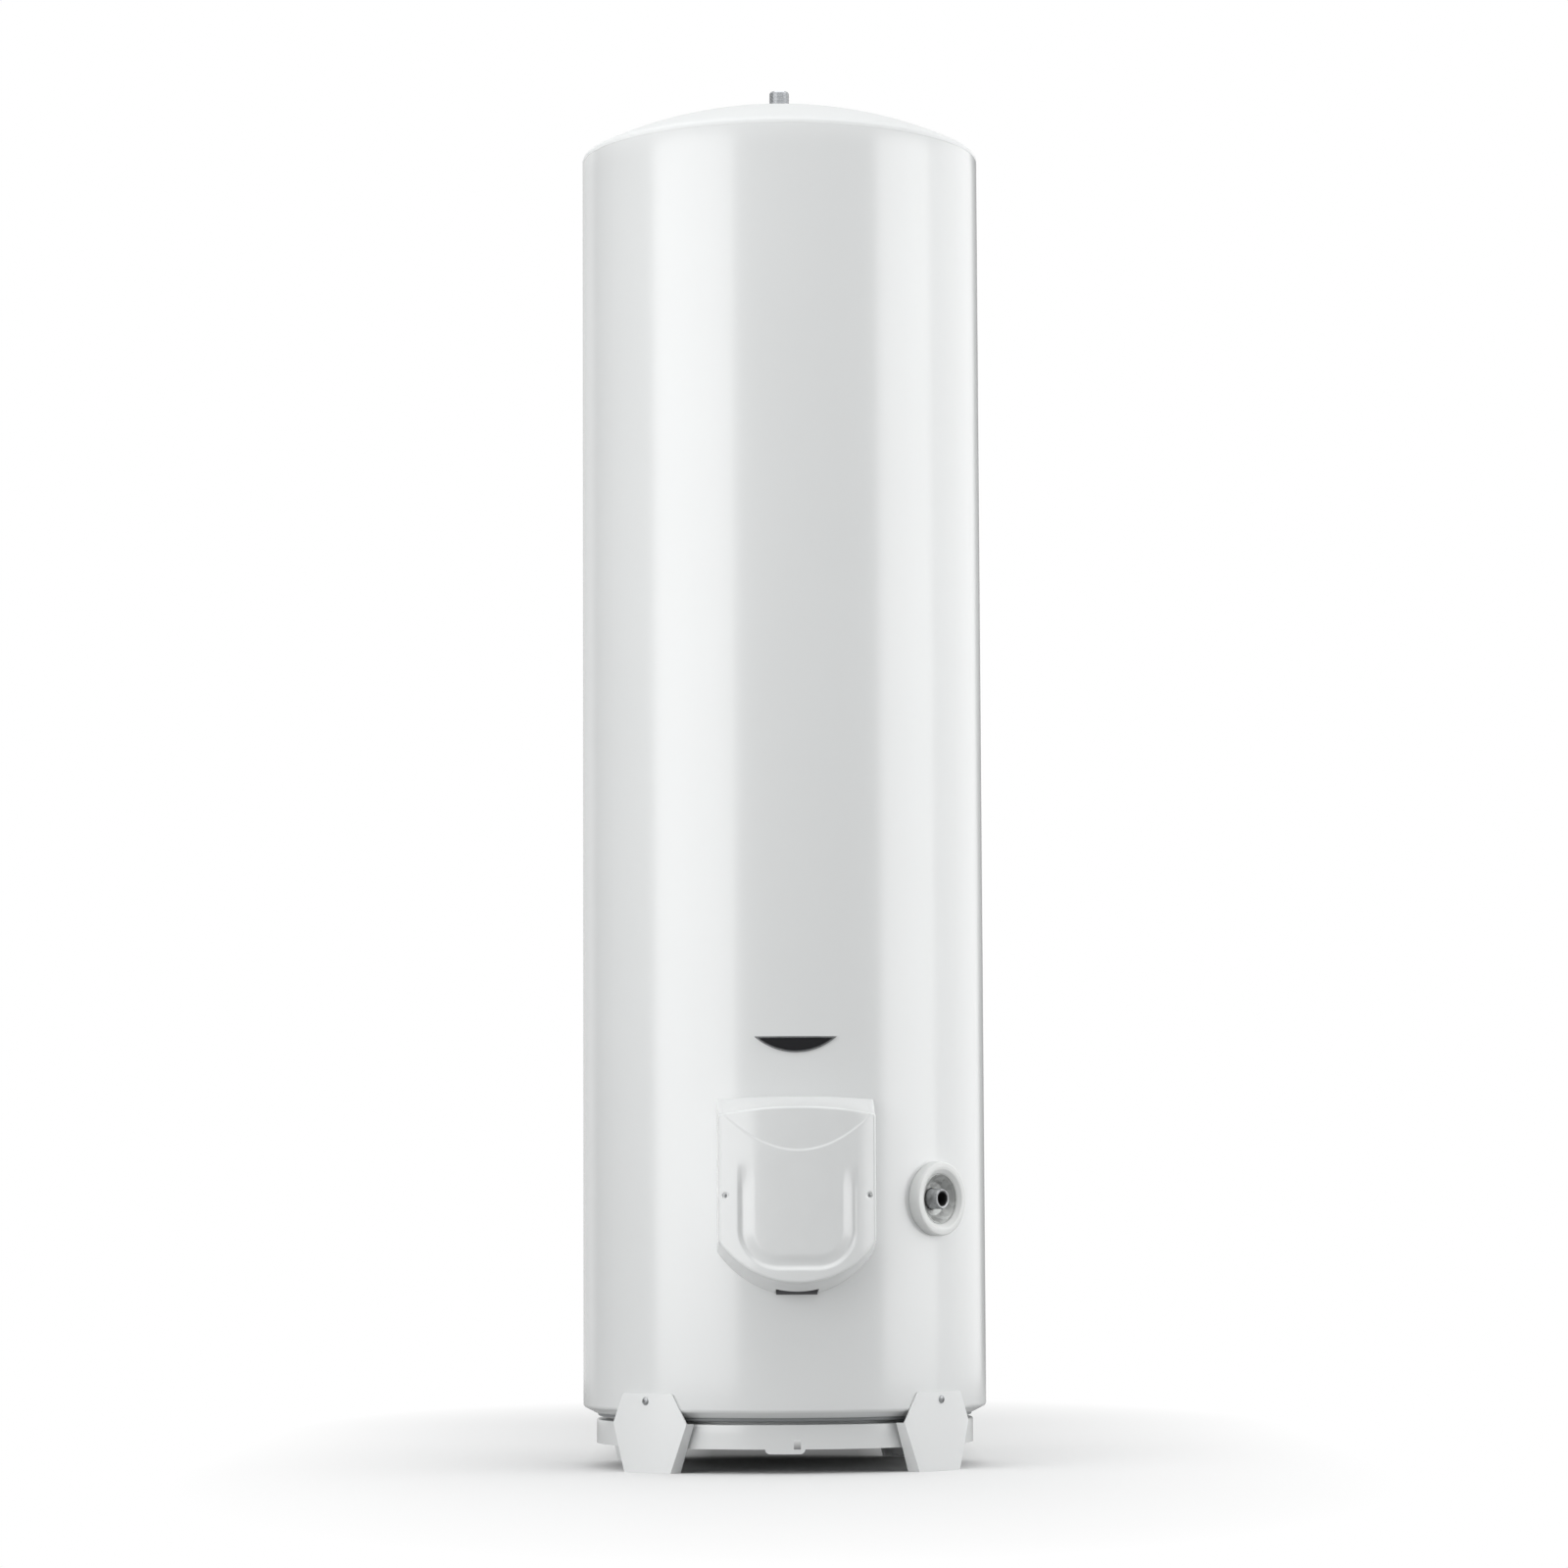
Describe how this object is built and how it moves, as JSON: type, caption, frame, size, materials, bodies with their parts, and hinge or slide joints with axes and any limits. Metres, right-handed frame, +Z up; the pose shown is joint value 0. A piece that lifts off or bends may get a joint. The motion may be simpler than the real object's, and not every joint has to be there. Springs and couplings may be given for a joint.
{
  "type": "tank water heater",
  "caption": "Tall white floor-standing cylindrical electric storage water heater with a domed top, bent sheet legs, a removable hood over its thermostat, and side water inlet.",
  "frame": {"origin": "on the floor, under the middle of the outer box of the whole heater", "axes": "+Z up along the tank, -Y to the front where the hood is, +X to the right seen from the front"},
  "size_m": [0.53, 0.578, 1.836],
  "materials": {
    "enamel": "gloss",
    "white_plastic": "satin",
    "zinc": "satin",
    "chrome": "polished",
    "badge_black": "gloss",
    "silver_trim": "polished",
    "vitreous_steel": "gloss",
    "foam": "matte",
    "steel": "satin",
    "copper": "satin",
    "magnesium": "matte",
    "rubber": "matte",
    "grey_plastic": "matte",
    "red_plastic": "gloss",
    "wire_brown": "satin",
    "wire_blue": "satin",
    "wire_green": "satin"
  },
  "bodies": {
    "heater": {"anode_nut": "steel", "anode_rod": "magnesium", "badge_plate": "badge_black", "badge_rim": "silver_trim", "base_ring": "enamel", "bottom_pan": "enamel", "cable_clamp": "steel", "cold_inlet_nipple": "zinc", "compartment_frame": "grey_plastic", "earth_lead": "wire_green", "earth_stud": "steel", "element_flange": "steel", "element_lead_left": "wire_brown", "element_lead_right": "wire_blue", "element_link": "copper", "element_neck": "steel", "flange_bolt_1": "steel", "flange_bolt_2": "steel", "flange_bolt_3": "steel", "flange_bolt_4": "steel", "flange_bolt_5": "steel", "flange_bolt_6": "steel", "flange_gasket": "rubber", "heating_element_left": "copper", "heating_element_right": "copper", "hood_bracket_left": "steel", "hood_bracket_right": "steel", "hot_outlet_pipe": "chrome", "inlet_bowl": "zinc", "inlet_collar": "white_plastic", "inlet_diffuser": "grey_plastic", "insulation_foam": "foam", "leg_front_left": "enamel", "leg_front_right": "enamel", "leg_rear_left": "enamel", "leg_rear_right": "enamel", "leg_screw_front_left": "steel", "leg_screw_front_right": "steel", "leg_screw_rear_left": "steel", "leg_screw_rear_right": "steel", "live_lead": "wire_brown", "neutral_lead": "wire_blue", "outer_jacket": "enamel", "outlet_bushing": "white_plastic", "tank_bottom_end": "vitreous_steel", "tank_shell": "vitreous_steel", "tank_skirt": "steel", "tank_top_end": "vitreous_steel", "terminal_block": "grey_plastic", "thermostat_body": "grey_plastic", "thermostat_pocket": "copper", "thermostat_probe": "steel", "top_cover": "enamel"},
    "hood_cover": {"hood": "white_plastic", "hood_screw_left": "steel", "hood_screw_right": "steel"},
    "thermostat_dial": {"thermostat_knob": "grey_plastic"},
    "reset_pin": {"reset_button": "red_plastic"}
  },
  "joints": [
    {"name": "hood_lift_off", "type": "slide", "parent": "heater", "child": "hood_cover", "axis": [0, -1, 0], "range_m": [0, 0.15]},
    {"name": "thermostat_turn", "type": "hinge", "parent": "heater", "child": "thermostat_dial", "pos_m": [0, -0.274, 0.374], "axis": [0, -1, 0], "range_deg": [0, 270]},
    {"name": "reset_press", "type": "slide", "parent": "heater", "child": "reset_pin", "axis": [0, 1, 0], "range_m": [0, 0.002], "stiffness_N_per_m": 400}
  ]
}
